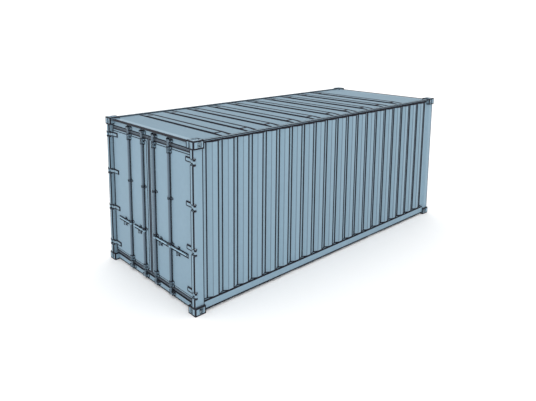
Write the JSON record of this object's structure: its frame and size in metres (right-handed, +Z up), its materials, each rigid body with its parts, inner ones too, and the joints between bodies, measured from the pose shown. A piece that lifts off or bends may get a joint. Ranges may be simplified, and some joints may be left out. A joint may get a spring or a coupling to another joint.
{
  "type": "freight shipping container",
  "caption": "Steel freight container with corrugated walls, a banded roof, corner castings and two hinged doors with locking bars.",
  "frame": {"origin": "centre of the footprint, on the ground under the bottom castings", "axes": "+Z up, +Y along the length from the doors to the closed end, +X to the right when facing the doors"},
  "size_m": [2.438, 6.058, 2.438],
  "materials": {
    "painted_steel": "satin sprayed paint on weathering steel",
    "floor_plywood": "sealed hardwood plywood",
    "seal_rubber": "matt extruded rubber",
    "pin_steel": "zinc plated"
  },
  "bodies": {
    "shell": {"bottom_castings_door_end": "painted_steel", "bottom_castings_closed_end": "painted_steel", "top_castings_door_end": "painted_steel", "top_castings_closed_end": "painted_steel", "door_post_right": "painted_steel", "door_post_left": "painted_steel", "closed_post_right": "painted_steel", "closed_post_left": "painted_steel", "bottom_rail_right": "painted_steel", "bottom_rail_left": "painted_steel", "top_rail_right": "painted_steel", "top_rail_left": "painted_steel", "door_sill": "painted_steel", "door_header": "painted_steel", "closed_end_sill": "painted_steel", "closed_end_header": "painted_steel", "side_wall_right": "painted_steel", "side_wall_left": "painted_steel", "closed_end_wall": "painted_steel", "roof_sheet": "painted_steel", "floor_boards": "floor_plywood", "crossmembers": "painted_steel", "hinge_ears": "painted_steel", "hinge_pins": "pin_steel", "lock_keepers": "painted_steel"},
    "door_right": {"door_frame_right": "painted_steel", "door_panel_right": "painted_steel", "door_gasket_right": "seal_rubber", "hinge_blades_right": "painted_steel", "door_fittings_right": "painted_steel"},
    "door_left": {"door_frame_left": "painted_steel", "door_panel_left": "painted_steel", "door_gasket_left": "seal_rubber", "hinge_blades_left": "painted_steel", "door_fittings_left": "painted_steel"},
    "bar_right_inner": {"lock_bar_right_inner": "painted_steel", "lock_handle_right_inner": "painted_steel"},
    "bar_right_outer": {"lock_bar_right_outer": "painted_steel", "lock_handle_right_outer": "painted_steel"},
    "bar_left_inner": {"lock_bar_left_inner": "painted_steel", "lock_handle_left_inner": "painted_steel"},
    "bar_left_outer": {"lock_bar_left_outer": "painted_steel", "lock_handle_left_outer": "painted_steel"}
  },
  "joints": [
    {"name": "door_right_hinge", "type": "hinge", "parent": "shell", "child": "door_right", "pos_m": [1.2, -3.003, 1.2], "axis": [0, 0, 1], "range_deg": [0, 270]},
    {"name": "door_left_hinge", "type": "hinge", "parent": "shell", "child": "door_left", "pos_m": [-1.2, -3.003, 1.2], "axis": [0, 0, -1], "range_deg": [0, 270]},
    {"name": "bar_right_inner_turn", "type": "hinge", "parent": "door_right", "child": "bar_right_inner", "pos_m": [0.155, -2.983, 1.2], "axis": [0, 0, 1], "range_deg": [-100, 0]},
    {"name": "bar_right_outer_turn", "type": "hinge", "parent": "door_right", "child": "bar_right_outer", "pos_m": [0.56, -2.983, 1.2], "axis": [0, 0, 1], "range_deg": [-100, 0]},
    {"name": "bar_left_inner_turn", "type": "hinge", "parent": "door_left", "child": "bar_left_inner", "pos_m": [-0.155, -2.983, 1.2], "axis": [0, 0, -1], "range_deg": [-100, 0]},
    {"name": "bar_left_outer_turn", "type": "hinge", "parent": "door_left", "child": "bar_left_outer", "pos_m": [-0.56, -2.983, 1.2], "axis": [0, 0, -1], "range_deg": [-100, 0]}
  ]
}
